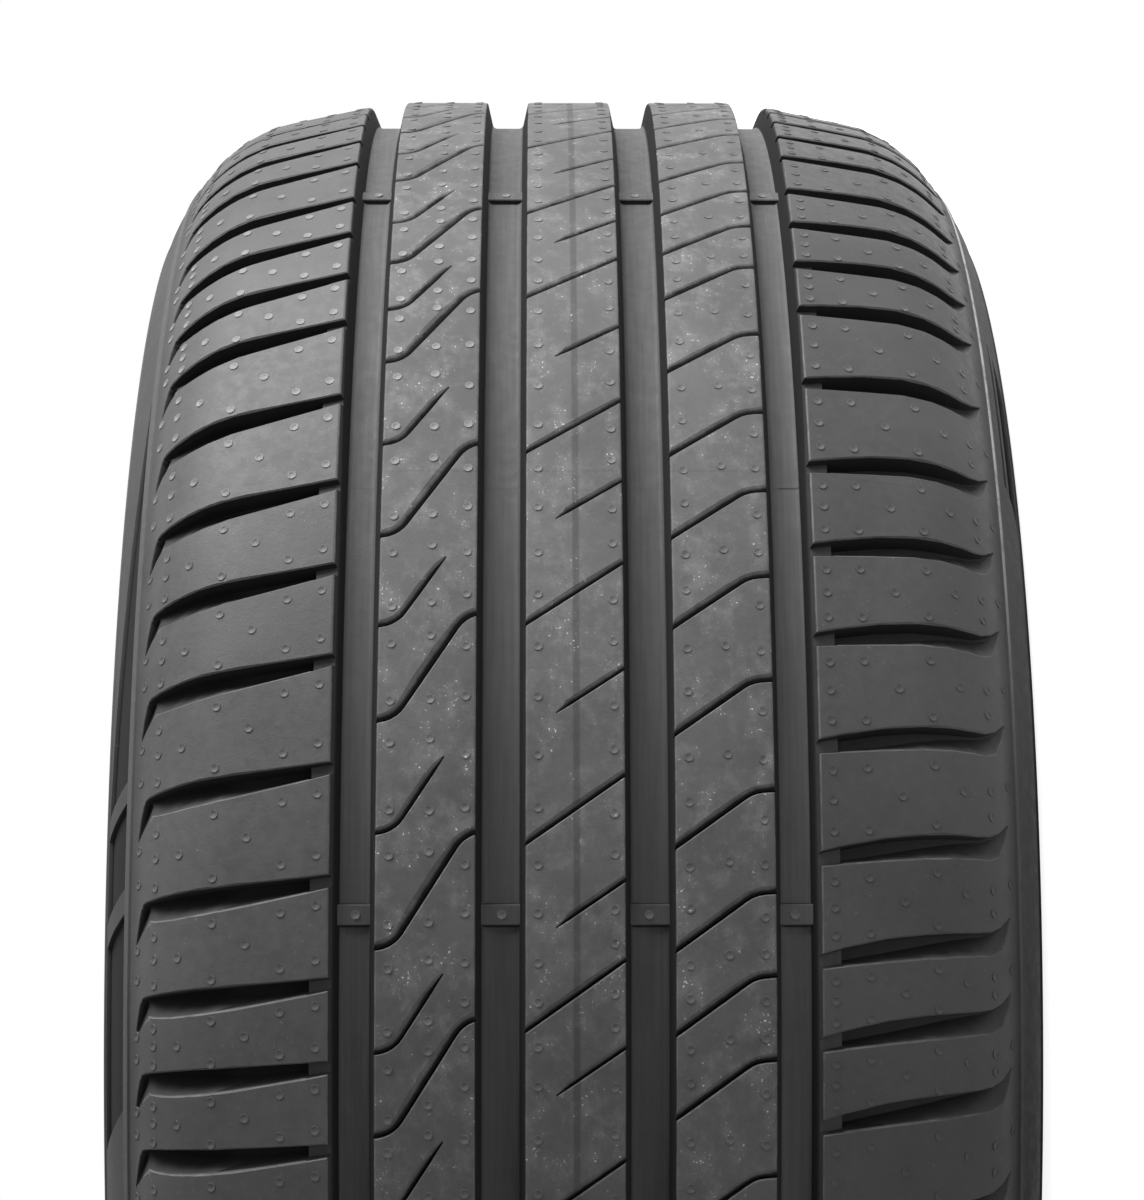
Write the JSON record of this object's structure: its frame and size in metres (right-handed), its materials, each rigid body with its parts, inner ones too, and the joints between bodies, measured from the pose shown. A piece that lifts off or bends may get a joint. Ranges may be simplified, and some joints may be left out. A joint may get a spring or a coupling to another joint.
{
  "type": "car tyre",
  "caption": "Low-profile radial car tyre with straight main grooves, swept shoulder slots, slanted sipes and a round bead bore that seats on a wheel rim.",
  "frame": {"origin": "centre of the tyre, on its axis at the middle plane of the tread", "axes": "+Z along the tyre's axis, up from the sidewall that it lies on; the stretch of tread in the picture faces -Y"},
  "size_m": [0.6565, 0.6563, 0.287],
  "materials": {
    "tyre": "matte moulded rubber"
  },
  "bodies": {
    "root": {"tyre": "tyre"}
  },
  "joints": []
}
